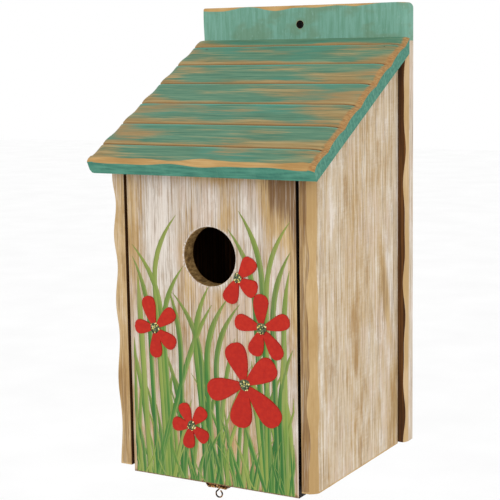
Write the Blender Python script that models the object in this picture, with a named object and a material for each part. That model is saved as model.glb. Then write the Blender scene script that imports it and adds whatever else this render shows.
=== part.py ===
"""Wall-hung wooden birdhouse: pine boards, a front that swings up, and a brass turn button.

Frame: metres, +X to the right of someone facing the front, -Y out from the wall, +Z up.
The origin is the centre of the hanging hole, on the wall plane (the back board's rear face).
"""
import math

import bmesh
import bpy
from mathutils import Matrix, Vector

# Box: two side panels, a back board and a floor.
BOX_WIDTH = 0.1504
SIDE_DEPTH = 0.1276
SIDE_HEIGHT_BACK = 0.2733
SIDE_THICKNESS = 0.0100
FLOOR_THICKNESS = 0.0100
BACK_THICKNESS = 0.0118
BACK_SIDE_MARGIN = 0.0061
BACK_BOTTOM_RISE = 0.0011
BACK_CORNER_RADIUS = 0.0040
HANGING_HOLE_DIAMETER = 0.0058
HANGING_HOLE_SIDES = 24
HOLE_BELOW_TOP = 0.0134
HOLE_ABOVE_ROOF = 0.0099

# Roof: one sloping board, grooved across to look like laths.
ROOF_SLOPE = math.radians(28.1)
ROOF_THICKNESS = 0.0102
ROOF_FRONT_OVERHANG = 0.0162
ROOF_SIDE_OVERHANG = 0.0083
GROOVE_FIRST = 0.0208
GROOVE_PITCH = 0.0266
GROOVE_HALF_WIDTH = 0.0009
GROOVE_DEPTH = 0.0014
GROOVE_END_MARGIN = 0.0060

# Front: one board hung on two nails, with the entrance hole.
DOOR_THICKNESS = 0.0105
DOOR_SIDE_GAP = 0.0021
DOOR_DROP = 0.0040
DOOR_TOP_GAP = 0.0035
DOOR_EDGE_BEVEL = 0.0005
ENTRANCE_DIAMETER = 0.0380
ENTRANCE_SIDES = 40
ENTRANCE_ABOVE_DOOR_BOTTOM = 0.1513
ENTRANCE_RIM_CHAMFER = 0.0010
HINGE_BEHIND_FRONT = 0.0066
HINGE_BELOW_ROOF_EDGE = 0.0087

# Nails, with small sunk heads.
NAIL_RADIUS = 0.0008
NAIL_HEAD_RADIUS = 0.0013
NAIL_HEAD_THICKNESS = 0.0008
NAIL_HEAD_SINK = 0.0003
NAIL_POINT = 0.0020
NAIL_TIP_SHARE = 0.3
NAIL_SIDES = 10
ROOF_NAIL_LENGTH = 0.0240
ROOF_NAIL_FROM_FRONT = 0.0290
ROOF_NAIL_FROM_BACK = 0.0142
FLOOR_NAIL_LENGTH = 0.0260
FLOOR_NAIL_FROM_FRONT = 0.0364
FLOOR_NAIL_FROM_BACK = 0.0349
FLOOR_NAIL_ABOVE_BOTTOM = 0.0035
BACK_NAIL_LENGTH = 0.0320
BACK_NAIL_END_MARGIN = 0.0300
BACK_NAILS_PER_SIDE = 3
HINGE_NAIL_LENGTH = 0.0240

# Latch: a turn button on a screw eye, and the pin that it hooks behind.
LATCH_BEHIND_FRONT = 0.0065
BUTTON_HALF_LENGTH = 0.0088
BUTTON_WAIST_WIDTH = 0.0034
BUTTON_END_WIDTH = 0.0056
BUTTON_THICKNESS = 0.0009
BUTTON_LIP_HEIGHT = 0.0023
BUTTON_LIP_LENGTH = 0.0022
BUTTON_END_TAPER = 0.8
BUTTON_END_LIFT = 0.0013
BUTTON_STEPS = 14
BUTTON_BORE_SIDES = 12
SPACER_RADIUS = 0.0021
SPACER_HEIGHT = 0.0024
SPACER_SIDES = 20
EYE_WIRE_RADIUS = 0.00052
EYE_LOOP_RADIUS = 0.0024
EYE_NECK = 0.0008
EYE_DEPTH = 0.0120
EYE_LOOP_START = 122
EYE_LOOP_END = 425
EYE_LOOP_STEP = 12
PIN_RADIUS = 0.0009
PIN_TIP_SHARE = 0.7
PIN_TIP_HEIGHT = 0.0003
PIN_DEPTH = 0.0070
PIN_BEHIND_DOOR = 0.0021
PIN_ABOVE_BUTTON = 0.0010

# Hand-planed arrises: mean size, swing of the cut, and where each one's waves start.
SIDE_ARRIS = {"left": 0.0028, "right": 0.0044}
SIDE_ARRIS_SWING = 0.0010
SIDE_ARRIS_PHASE = {"left": 0.1, "right": 2.1}
BACK_ARRIS = 0.0014
BACK_ARRIS_SWING = 0.0008
BACK_ARRIS_DEPTH = 0.0050
BACK_ARRIS_PHASE = {"left": 2.0, "right": 0.4}
ROOF_EDGE_WIDTH = 0.0050
ROOF_EDGE_DROP = 0.0012
ROOF_EDGE_SWING = 0.0006
ROOF_EDGE_PHASE = {"left": 0.2, "right": 1.7}
ROOF_FRONT_WIDTH = 0.0036
ROOF_FRONT_DROP = 0.0018
ROOF_FRONT_SWING = 0.0009
ROOF_FRONT_PHASE = 0.6

# Their waves: a long and a short swell, and the spacing of the points that carry them.
WAVE_LONG = 0.0630
WAVE_LONG_SHARE = 0.62
WAVE_SHORT = 0.0370
WAVE_SHORT_SHARE = 0.38
WAVE_SHORT_PHASE = 2.3
WAVE_STEP = 0.0065

# Touching pieces keep this gap; a running hole has the same one.
GAP = 0.0003
CUT_PAST = 0.0030

# Places that follow from the sizes above.
COS = math.cos(ROOF_SLOPE)
SIN = math.sin(ROOF_SLOPE)
TAN = math.tan(ROOF_SLOPE)
BACK_FACE_Y = -BACK_THICKNESS
SIDE_BACK_Y = BACK_FACE_Y - GAP
FRONT_Y = SIDE_BACK_Y - SIDE_DEPTH
ROOF_WIDTH = BOX_WIDTH + 2 * ROOF_SIDE_OVERHANG
ROOF_LENGTH = (SIDE_DEPTH + ROOF_FRONT_OVERHANG) / COS
ROOF_BACK_Z = -HOLE_ABOVE_ROOF
ROOF_FRONT_TOP = Vector((0.0, SIDE_BACK_Y - ROOF_LENGTH * COS, ROOF_BACK_Z - ROOF_LENGTH * SIN))
SIDE_TOP_BACK_Z = ROOF_BACK_Z - (ROOF_THICKNESS + GAP) / COS
BOTTOM_Z = SIDE_TOP_BACK_Z - SIDE_HEIGHT_BACK
SIDE_TOP_FRONT_Z = SIDE_TOP_BACK_Z - SIDE_DEPTH * TAN
ROOF_EDGE_Z = ROOF_FRONT_TOP.z - ROOF_THICKNESS * COS
BACK_WIDTH = BOX_WIDTH + 2 * BACK_SIDE_MARGIN
BACK_BOTTOM_Z = BOTTOM_Z + BACK_BOTTOM_RISE
INNER_HALF_WIDTH = BOX_WIDTH / 2 - SIDE_THICKNESS
SIDE_MIDDLE_X = BOX_WIDTH / 2 - SIDE_THICKNESS / 2
DOOR_BOTTOM_Z = BOTTOM_Z - DOOR_DROP
DOOR_TOP_Z = SIDE_TOP_FRONT_Z - DOOR_TOP_GAP
DOOR_WIDTH = 2 * (INNER_HALF_WIDTH - DOOR_SIDE_GAP)
DOOR_REAR_Y = FRONT_Y + DOOR_THICKNESS
ENTRANCE_Z = DOOR_BOTTOM_Z + ENTRANCE_ABOVE_DOOR_BOTTOM
HINGE = Vector((0.0, FRONT_Y + HINGE_BEHIND_FRONT, ROOF_EDGE_Z - HINGE_BELOW_ROOF_EDGE))
LATCH = Vector((0.0, FRONT_Y + LATCH_BEHIND_FRONT, DOOR_BOTTOM_Z))
BUTTON_TOP = -(SPACER_HEIGHT + 2 * GAP)
BUTTON_BOTTOM = BUTTON_TOP - BUTTON_THICKNESS
SIDES = (("left", -1), ("right", 1))

DOWN = Vector((0.0, 0.0, -1.0))


def wave(distance, phase):
    """Uneven swell of a hand-planed arris, between about -1 and 1."""
    long_swell = math.sin(2 * math.pi * distance / WAVE_LONG + phase)
    short_swell = math.sin(2 * math.pi * distance / WAVE_SHORT + WAVE_SHORT_PHASE * phase)
    return WAVE_LONG_SHARE * long_swell + WAVE_SHORT_SHARE * short_swell


def side_name(x):
    return "right" if x > 0 else "left"


def steps(start, stop, spacing):
    """Evenly spaced values from start to stop, no further apart than spacing."""
    count = max(1, math.ceil((stop - start) / spacing))
    return [start + (stop - start) * i / count for i in range(count + 1)]


def clear_scene():
    for item in list(bpy.data.objects):
        bpy.data.objects.remove(item, do_unlink=True)


def material(name, colour, roughness, metallic=0.0):
    made = bpy.data.materials.new(name)
    made.use_nodes = True
    shader = made.node_tree.nodes["Principled BSDF"]
    shader.inputs["Base Color"].default_value = (*colour, 1.0)
    shader.inputs["Roughness"].default_value = roughness
    shader.inputs["Metallic"].default_value = metallic
    return made


def hang_on(item, parent, place, parent_place):
    """Parent a piece to an empty; both places are in world coordinates."""
    item.parent = parent
    item.location = Vector(place) - Vector(parent_place)


def add_object(name, bm, finish, location=(0.0, 0.0, 0.0)):
    """Put a bmesh in the scene as one named object; its points are relative to location."""
    bmesh.ops.recalc_face_normals(bm, faces=bm.faces[:])
    mesh = bpy.data.meshes.new(name)
    bm.to_mesh(mesh)
    bm.free()
    if finish is not None:
        mesh.materials.append(finish)
    item = bpy.data.objects.new(name, mesh)
    bpy.context.scene.collection.objects.link(item)
    item.location = Vector(location)
    return item


def add_empty(name, location):
    item = bpy.data.objects.new(name, None)
    item.empty_display_size = 0.01
    item.location = location
    bpy.context.scene.collection.objects.link(item)
    return item


def smooth(item, angle=35.0):
    item.data.shade_smooth()
    item.data.set_sharp_from_angle(angle=math.radians(angle))


def loft(rings, bm=None):
    """Closed body through a list of rings that have equally many points."""
    bm = bm or bmesh.new()
    loops = [[bm.verts.new(point) for point in ring] for ring in rings]
    for lower, upper in zip(loops, loops[1:]):
        for i, vert in enumerate(lower):
            j = (i + 1) % len(lower)
            bm.faces.new((vert, lower[j], upper[j], upper[i]))
    bm.faces.new(loops[0])
    bm.faces.new(loops[-1])
    return bm


def turned(profile, sides, bm=None, place=None):
    """Round piece about Z from (radius, height) pairs; it closes with a flat at each end."""
    place = place or Matrix.Identity(4)
    rings = []
    for radius, height in profile:
        turns = [2 * math.pi * i / sides for i in range(sides)]
        rings.append([place @ Vector((radius * math.cos(a), radius * math.sin(a), height)) for a in turns])
    return loft(rings, bm)


def block(low, high):
    """Plain board between two corners."""
    outline = ((low[0], low[1]), (high[0], low[1]), (high[0], high[1]), (low[0], high[1]))
    return loft([[Vector((x, y, z)) for x, y in outline] for z in (low[2], high[2])])


def aim(head, direction):
    """Matrix that puts a piece's head at a point with its tip along a direction."""
    turn = DOWN.rotation_difference(Vector(direction).normalized())
    return Matrix.Translation(head) @ turn.to_matrix().to_4x4()


def nail_profile(length, grow=0.0):
    """(radius, height) pairs of a nail that hangs down from its head, or of the hole for it."""
    top = CUT_PAST if grow else -NAIL_HEAD_SINK
    under_head = -NAIL_HEAD_SINK - NAIL_HEAD_THICKNESS - grow
    end = -length - grow
    return (
        (NAIL_HEAD_RADIUS + grow, top),
        (NAIL_HEAD_RADIUS + grow, under_head),
        (NAIL_RADIUS + grow, under_head),
        (NAIL_RADIUS + grow, end + NAIL_POINT),
        (NAIL_TIP_SHARE * NAIL_RADIUS + grow, end),
    )


def nail_places():
    """Every nail: name, head centre on its board's face, direction, length and boards it enters."""
    down_through_roof = Vector((0.0, SIN, -COS))
    along_roof = Vector((0.0, COS, SIN))
    places = []
    for side, sign in SIDES:
        panel = "side_panel_" + side
        for end, run in (("front", ROOF_NAIL_FROM_FRONT), ("back", ROOF_LENGTH - ROOF_NAIL_FROM_BACK)):
            head = ROOF_FRONT_TOP + along_roof * run
            head.x = sign * SIDE_MIDDLE_X
            boards = ("roof_board", panel)
            places.append((f"roof_nail_{end}_{side}", head, down_through_roof, ROOF_NAIL_LENGTH, boards))
        floor_runs = (
            ("front", FRONT_Y + FLOOR_NAIL_FROM_FRONT),
            ("back", SIDE_BACK_Y - FLOOR_NAIL_FROM_BACK),
        )
        for end, depth in floor_runs:
            head = Vector((sign * BOX_WIDTH / 2, depth, BOTTOM_Z + FLOOR_NAIL_ABOVE_BOTTOM))
            boards = ("floor_board", panel)
            places.append((f"floor_nail_{end}_{side}", head, (-sign, 0, 0), FLOOR_NAIL_LENGTH, boards))
        lowest = BOTTOM_Z + BACK_NAIL_END_MARGIN
        highest = SIDE_TOP_BACK_Z - BACK_NAIL_END_MARGIN
        for number in range(BACK_NAILS_PER_SIDE):
            share = number / (BACK_NAILS_PER_SIDE - 1)
            head = Vector((sign * SIDE_MIDDLE_X, 0.0, lowest + share * (highest - lowest)))
            boards = ("back_board", panel)
            places.append((f"back_nail_{side}_{number + 1}", head, (0, -1, 0), BACK_NAIL_LENGTH, boards))
        head = Vector((sign * BOX_WIDTH / 2, HINGE.y, HINGE.z))
        boards = ("front_door", panel)
        places.append((f"hinge_nail_{side}", head, (-sign, 0, 0), HINGE_NAIL_LENGTH, boards))
    return places


def add_nails(finish):
    for name, head, direction, length, _ in nail_places():
        bm = turned(nail_profile(length), NAIL_SIDES)
        item = add_object(name, bm, finish, location=head)
        item.rotation_euler = aim((0, 0, 0), direction).to_euler()
        smooth(item)


def cut(item, bm, name):
    """Take a cutter's shape out of a board."""
    cutter = add_object(name, bm, None)
    cutter.hide_render = True
    cutter.display_type = "WIRE"
    boolean = item.modifiers.new(name, "BOOLEAN")
    boolean.operation = "DIFFERENCE"
    boolean.object = cutter


def cut_nail_holes(boards):
    """One cutter per board, shaped like all the nails that enter it."""
    for board in boards:
        bm = bmesh.new()
        for _, head, direction, length, entered in nail_places():
            if board.name in entered:
                turned(nail_profile(length, GAP), NAIL_SIDES, bm, aim(head, direction))
        cut(board, bm, board.name + "_nail_holes")


def side_panel(side, sign, finish):
    """Side panel: sloping top edge, and a planed arris down its outer front corner."""
    height = SIDE_TOP_FRONT_Z - BOTTOM_Z
    rings = []
    for rise in steps(0.0, height, WAVE_STEP):
        arris = SIDE_ARRIS[side] + SIDE_ARRIS_SWING * wave(rise, SIDE_ARRIS_PHASE[side])
        section = (
            (-SIDE_THICKNESS, 0.0),
            (-arris, 0.0),
            (0.0, arris),
            (0.0, SIDE_DEPTH),
            (-SIDE_THICKNESS, SIDE_DEPTH),
        )
        share = rise / height
        rings.append([Vector((sign * x, y, share * (height + y * TAN))) for x, y in section])
    corner = (sign * BOX_WIDTH / 2, FRONT_Y, BOTTOM_Z)
    return add_object("side_panel_" + side, loft(rings), finish, location=corner)


def rounded_outline(half_width, low, high, radius):
    """Points round an upright board, close enough together to carry the arris waves."""
    points = []
    corners = ((1, 1, high), (-1, 1, high), (-1, -1, low), (1, -1, low))
    for (across, up, level), start in zip(corners, (0, 90, 180, 270)):
        for turn in steps(start, start + 90, 30):
            angle = math.radians(turn)
            x = across * (half_width - radius) + radius * math.cos(angle)
            z = level - up * radius + radius * math.sin(angle)
            points.append(Vector((x, z)))
    outline = []
    for here, there in zip(points, points[1:] + points[:1]):
        distance = (there - here).length
        outline += [here.lerp(there, run / distance) for run in steps(0.0, distance, WAVE_STEP)[:-1]]
    return outline


def back_board(finish):
    """Back board: taller and wider than the box, planed along its two upright front arrises."""
    half_width = BACK_WIDTH / 2
    top = HOLE_BELOW_TOP
    rear, shoulder, face = [], [], []
    for x, z in rounded_outline(half_width, BACK_BOTTOM_Z, top, BACK_CORNER_RADIUS):
        inset = BACK_ARRIS + BACK_ARRIS_SWING * wave(z, BACK_ARRIS_PHASE[side_name(x)])
        front_x = max(-half_width + inset, min(half_width - inset, x))
        front_z = max(BACK_BOTTOM_Z + GAP, min(top - GAP, z))
        rear.append(Vector((x, 0.0, z)))
        shoulder.append(Vector((x, BACK_FACE_Y + BACK_ARRIS_DEPTH, z)))
        face.append(Vector((front_x, BACK_FACE_Y, front_z)))
    item = add_object("back_board", loft([rear, shoulder, face]), finish)
    reach = BACK_THICKNESS + CUT_PAST
    profile = ((HANGING_HOLE_DIAMETER / 2, -reach), (HANGING_HOLE_DIAMETER / 2, reach))
    cut(item, turned(profile, HANGING_HOLE_SIDES, place=aim((0, 0, 0), (0, -1, 0))), "hanging_hole")
    return item


def floor_board(finish):
    """Floor: sits between the sides, flush with their lower edges; the front closes against it."""
    half_width = INNER_HALF_WIDTH - GAP
    low = (-half_width, DOOR_REAR_Y + GAP, BOTTOM_Z)
    high = (half_width, SIDE_BACK_Y, BOTTOM_Z + FLOOR_THICKNESS)
    item = add_object("floor_board", block(low, high), finish)
    pin = Vector((0.0, DOOR_REAR_Y + PIN_BEHIND_DOOR, BOTTOM_Z))
    profile = ((PIN_RADIUS + GAP, -CUT_PAST), (PIN_RADIUS + GAP, PIN_DEPTH + GAP))
    cut(item, turned(profile, NAIL_SIDES, place=Matrix.Translation(pin)), "pin_hole")
    return item


def roof_runs():
    """(run up the slope, depth) pairs over the top face, with a V at each groove."""
    grooves = []
    run = GROOVE_FIRST
    while run < ROOF_LENGTH - GROOVE_END_MARGIN:
        grooves.append(run)
        run += GROOVE_PITCH
    points = []
    start = ROOF_FRONT_WIDTH + ROOF_FRONT_SWING + GAP
    for groove in grooves:
        points += [(run, 0.0) for run in steps(start, groove - GROOVE_HALF_WIDTH, WAVE_STEP)]
        points.append((groove, -GROOVE_DEPTH))
        start = groove + GROOVE_HALF_WIDTH
    points += [(run, 0.0) for run in steps(start, ROOF_LENGTH, WAVE_STEP)]
    return points


def roof_section(x, edge_x=None):
    """Section of the roof board across its slope; edge_x is given on the two outer sections."""
    swing = ROOF_FRONT_SWING * wave(x, ROOF_FRONT_PHASE)
    front_drop = ROOF_FRONT_DROP + swing
    front_width = ROOF_FRONT_WIDTH + swing
    edge_drop = ROOF_EDGE_DROP if edge_x is not None else 0.0
    section = [Vector((x, 0.0, -front_drop - edge_drop)), Vector((x, front_width, -edge_drop))]
    for run, depth in roof_runs():
        edge_wave = wave(run, ROOF_EDGE_PHASE[side_name(x)])
        inset = ROOF_EDGE_WIDTH + 2 * ROOF_EDGE_SWING * edge_wave
        if edge_x is None and abs(x) > ROOF_WIDTH / 2 - ROOF_EDGE_WIDTH - GAP:
            section.append(Vector((math.copysign(ROOF_WIDTH / 2 - inset, x), run, depth)))
        elif edge_x is not None:
            lowered = -ROOF_EDGE_DROP - ROOF_EDGE_SWING * edge_wave
            section.append(Vector((x, run, min(depth, lowered))))
        else:
            section.append(Vector((x, run, depth)))
    section.append(Vector((x, ROOF_LENGTH - ROOF_THICKNESS * TAN, -ROOF_THICKNESS)))
    section.append(Vector((x, 0.0, -ROOF_THICKNESS)))
    return section


def roof_board(finish):
    """Roof: grooved board, planed along its front and side arrises, cut plumb against the back."""
    half_width = ROOF_WIDTH / 2
    shoulder = half_width - ROOF_EDGE_WIDTH
    inner = half_width - ROOF_EDGE_WIDTH - 2 * ROOF_EDGE_SWING - 2 * GAP
    rings = [roof_section(-half_width, edge_x=-half_width), roof_section(-shoulder)]
    rings += [roof_section(x) for x in steps(-inner, inner, WAVE_STEP)]
    rings += [roof_section(shoulder), roof_section(half_width, edge_x=half_width)]
    item = add_object("roof_board", loft(rings), finish, location=ROOF_FRONT_TOP)
    item.rotation_euler = (ROOF_SLOPE, 0.0, 0.0)
    return item


def front_door(finish, hinge):
    """Front board, hung near its top on two nails, with the bored entrance."""
    low = Vector((-DOOR_WIDTH / 2, FRONT_Y, DOOR_BOTTOM_Z)) - HINGE
    high = Vector((DOOR_WIDTH / 2, DOOR_REAR_Y, DOOR_TOP_Z)) - HINGE
    item = add_object("front_door", block(low, high), finish)
    hang_on(item, hinge, HINGE, HINGE)
    bevel = item.modifiers.new("eased_edges", "BEVEL")
    bevel.width = DOOR_EDGE_BEVEL
    bevel.segments = 1
    radius = ENTRANCE_DIAMETER / 2
    entrance = (
        (radius + ENTRANCE_RIM_CHAMFER + CUT_PAST, CUT_PAST),
        (radius, -ENTRANCE_RIM_CHAMFER),
        (radius, -DOOR_THICKNESS - CUT_PAST),
    )
    place = aim((0.0, FRONT_Y, ENTRANCE_Z), (0, 1, 0))
    cut(item, turned(entrance, ENTRANCE_SIDES, place=place), "entrance_hole")
    screw_hole = ((EYE_WIRE_RADIUS + GAP, -CUT_PAST), (EYE_WIRE_RADIUS + GAP, EYE_DEPTH + GAP))
    cut(item, turned(screw_hole, NAIL_SIDES, place=Matrix.Translation(LATCH)), "screw_hole")
    return item


def latch_spacer(finish, hinge):
    """Brass ferrule that holds the button clear of the front's lower edge."""
    bore = EYE_WIRE_RADIUS + GAP
    top = -GAP
    bottom = -GAP - SPACER_HEIGHT
    section = ((bore, top), (SPACER_RADIUS, top), (SPACER_RADIUS, bottom), (bore, bottom))
    bm = bmesh.new()
    around = [2 * math.pi * i / SPACER_SIDES for i in range(SPACER_SIDES)]
    rings = []
    for angle in around:
        rings.append([bm.verts.new((r * math.cos(angle), r * math.sin(angle), z)) for r, z in section])
    for ring, following in zip(rings, rings[1:] + rings[:1]):
        for i, vert in enumerate(ring):
            j = (i + 1) % len(ring)
            bm.faces.new((vert, ring[j], following[j], following[i]))
    item = add_object("latch_spacer", bm, finish)
    hang_on(item, hinge, LATCH, HINGE)
    smooth(item)


def latch_eye(finish, hinge):
    """Screw eye: a wire shank up into the front's lower edge, and a round loop below it."""
    neck = BUTTON_BOTTOM - GAP - EYE_NECK
    middle = neck - EYE_NECK - EYE_LOOP_RADIUS
    route = [Vector((0.0, 0.0, z)) for z in (EYE_DEPTH, neck)]
    for turn in steps(EYE_LOOP_START, EYE_LOOP_END, EYE_LOOP_STEP):
        angle = math.radians(turn)
        x = EYE_LOOP_RADIUS * math.cos(angle)
        route.append(Vector((x, 0.0, middle + EYE_LOOP_RADIUS * math.sin(angle))))
    curve = bpy.data.curves.new("latch_screw_eye", "CURVE")
    curve.dimensions = "3D"
    curve.bevel_depth = EYE_WIRE_RADIUS
    curve.bevel_resolution = 2
    curve.use_fill_caps = True
    curve.materials.append(finish)
    spline = curve.splines.new("POLY")
    spline.points.add(len(route) - 1)
    for point, place in zip(spline.points, route):
        point.co = (*place, 1.0)
    item = bpy.data.objects.new("latch_screw_eye", curve)
    bpy.context.scene.collection.objects.link(item)
    hang_on(item, hinge, LATCH, HINGE)


def button_ring(step):
    """Section of the button a number of steps from its middle: wider and turned up at its ends."""
    share = abs(step) / BUTTON_STEPS
    run = BUTTON_HALF_LENGTH * step / BUTTON_STEPS
    half_width = (BUTTON_WAIST_WIDTH + (BUTTON_END_WIDTH - BUTTON_WAIST_WIDTH) * share) / 2
    bend_start = BUTTON_HALF_LENGTH - BUTTON_LIP_LENGTH
    bend = max(0.0, (abs(run) - bend_start) / BUTTON_LIP_LENGTH)
    lift = BUTTON_LIP_HEIGHT * bend * bend * (3 - 2 * bend)
    bottom = BUTTON_BOTTOM + lift
    top = BUTTON_TOP + lift
    if abs(step) == BUTTON_STEPS:
        half_width *= BUTTON_END_TAPER
        bottom = BUTTON_BOTTOM + BUTTON_END_LIFT
    corners = ((-half_width, bottom), (half_width, bottom), (half_width, top), (-half_width, top))
    return [Vector((run, y, z)) for y, z in corners]


def latch_button(finish, pivot):
    """Turn button of stamped brass; it stands across the front, off its pin, when it is open."""
    rings = [button_ring(step) for step in range(-BUTTON_STEPS, BUTTON_STEPS + 1)]
    item = add_object("latch_button", loft(rings), finish)
    hang_on(item, pivot, LATCH, LATCH)
    bore = ((EYE_WIRE_RADIUS + GAP, BUTTON_BOTTOM - CUT_PAST), (EYE_WIRE_RADIUS + GAP, CUT_PAST))
    cut(item, turned(bore, BUTTON_BORE_SIDES, place=Matrix.Translation(LATCH)), "button_bore")


def keeper_pin(finish):
    """Pin in the floor's underside, close behind the front, for the button to hook behind."""
    foot = LATCH.z + BUTTON_TOP + PIN_ABOVE_BUTTON
    place = Vector((0.0, DOOR_REAR_Y + PIN_BEHIND_DOOR, foot))
    head = BOTTOM_Z + PIN_DEPTH - foot
    profile = ((PIN_TIP_SHARE * PIN_RADIUS, 0.0), (PIN_RADIUS, PIN_TIP_HEIGHT), (PIN_RADIUS, head))
    item = add_object("keeper_pin", turned(profile, NAIL_SIDES), finish, location=place)
    smooth(item)


def build():
    clear_scene()
    limewashed = material("limewashed_pine", (0.62, 0.52, 0.41), 0.8)
    raw_pine = material("raw_pine", (0.50, 0.33, 0.17), 0.8)
    painted_front = material("painted_front", (0.60, 0.50, 0.40), 0.75)
    green_paint = material("worn_green_paint", (0.13, 0.35, 0.27), 0.65)
    steel = material("nail_steel", (0.16, 0.13, 0.11), 0.5, 0.9)
    brass = material("brass", (0.66, 0.45, 0.20), 0.35, 1.0)

    hinge = add_empty("door_hinge", HINGE)
    pivot = add_empty("button_pivot", LATCH)
    hang_on(pivot, hinge, LATCH, HINGE)

    panels = [side_panel(side, sign, limewashed) for side, sign in SIDES]
    boards = [back_board(limewashed), floor_board(raw_pine), roof_board(green_paint)]
    boards += [front_door(painted_front, hinge)] + panels
    cut_nail_holes(boards)
    add_nails(steel)
    latch_spacer(brass, hinge)
    latch_eye(brass, hinge)
    latch_button(brass, pivot)
    keeper_pin(brass)


build()
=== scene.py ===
import math
import random

import bmesh
import bpy
from mathutils import Matrix, Vector, noise


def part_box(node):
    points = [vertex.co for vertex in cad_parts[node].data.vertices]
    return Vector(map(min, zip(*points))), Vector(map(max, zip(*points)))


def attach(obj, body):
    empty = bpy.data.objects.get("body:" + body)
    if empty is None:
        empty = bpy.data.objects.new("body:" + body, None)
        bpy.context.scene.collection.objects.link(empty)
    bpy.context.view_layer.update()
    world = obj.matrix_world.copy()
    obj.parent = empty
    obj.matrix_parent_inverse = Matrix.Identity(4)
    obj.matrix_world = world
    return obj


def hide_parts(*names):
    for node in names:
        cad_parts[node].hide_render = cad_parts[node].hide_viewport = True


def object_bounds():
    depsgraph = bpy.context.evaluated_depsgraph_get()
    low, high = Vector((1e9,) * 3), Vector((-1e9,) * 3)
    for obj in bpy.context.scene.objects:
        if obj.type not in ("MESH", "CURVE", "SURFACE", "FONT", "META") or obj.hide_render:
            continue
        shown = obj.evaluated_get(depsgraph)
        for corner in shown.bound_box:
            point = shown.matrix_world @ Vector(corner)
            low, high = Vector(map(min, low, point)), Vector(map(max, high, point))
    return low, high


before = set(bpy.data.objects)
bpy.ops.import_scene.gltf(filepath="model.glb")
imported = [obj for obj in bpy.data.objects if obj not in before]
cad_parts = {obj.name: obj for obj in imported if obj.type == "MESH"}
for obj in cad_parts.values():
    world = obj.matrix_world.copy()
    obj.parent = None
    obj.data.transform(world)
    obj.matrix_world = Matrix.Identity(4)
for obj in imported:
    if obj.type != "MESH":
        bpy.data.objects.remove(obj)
cad_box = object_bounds()

MM = 0.001


# Side panels ----------------------------------------------
# Two upright pine boards 10 mm thick with sloping tops. They are brushed with thin lime, and a
# spokeshave has taken their outer front corners down to bare wood in long uneven strokes.

def shade(web_colour):
    """Linear colour of a six-digit web colour."""
    parts = [int(web_colour[i:i + 2], 16) / 255 for i in (0, 2, 4)]
    linear = [p / 12.92 if p <= 0.04045 else ((p + 0.055) / 1.055) ** 2.4 for p in parts]
    return (*linear, 1.0)


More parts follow.
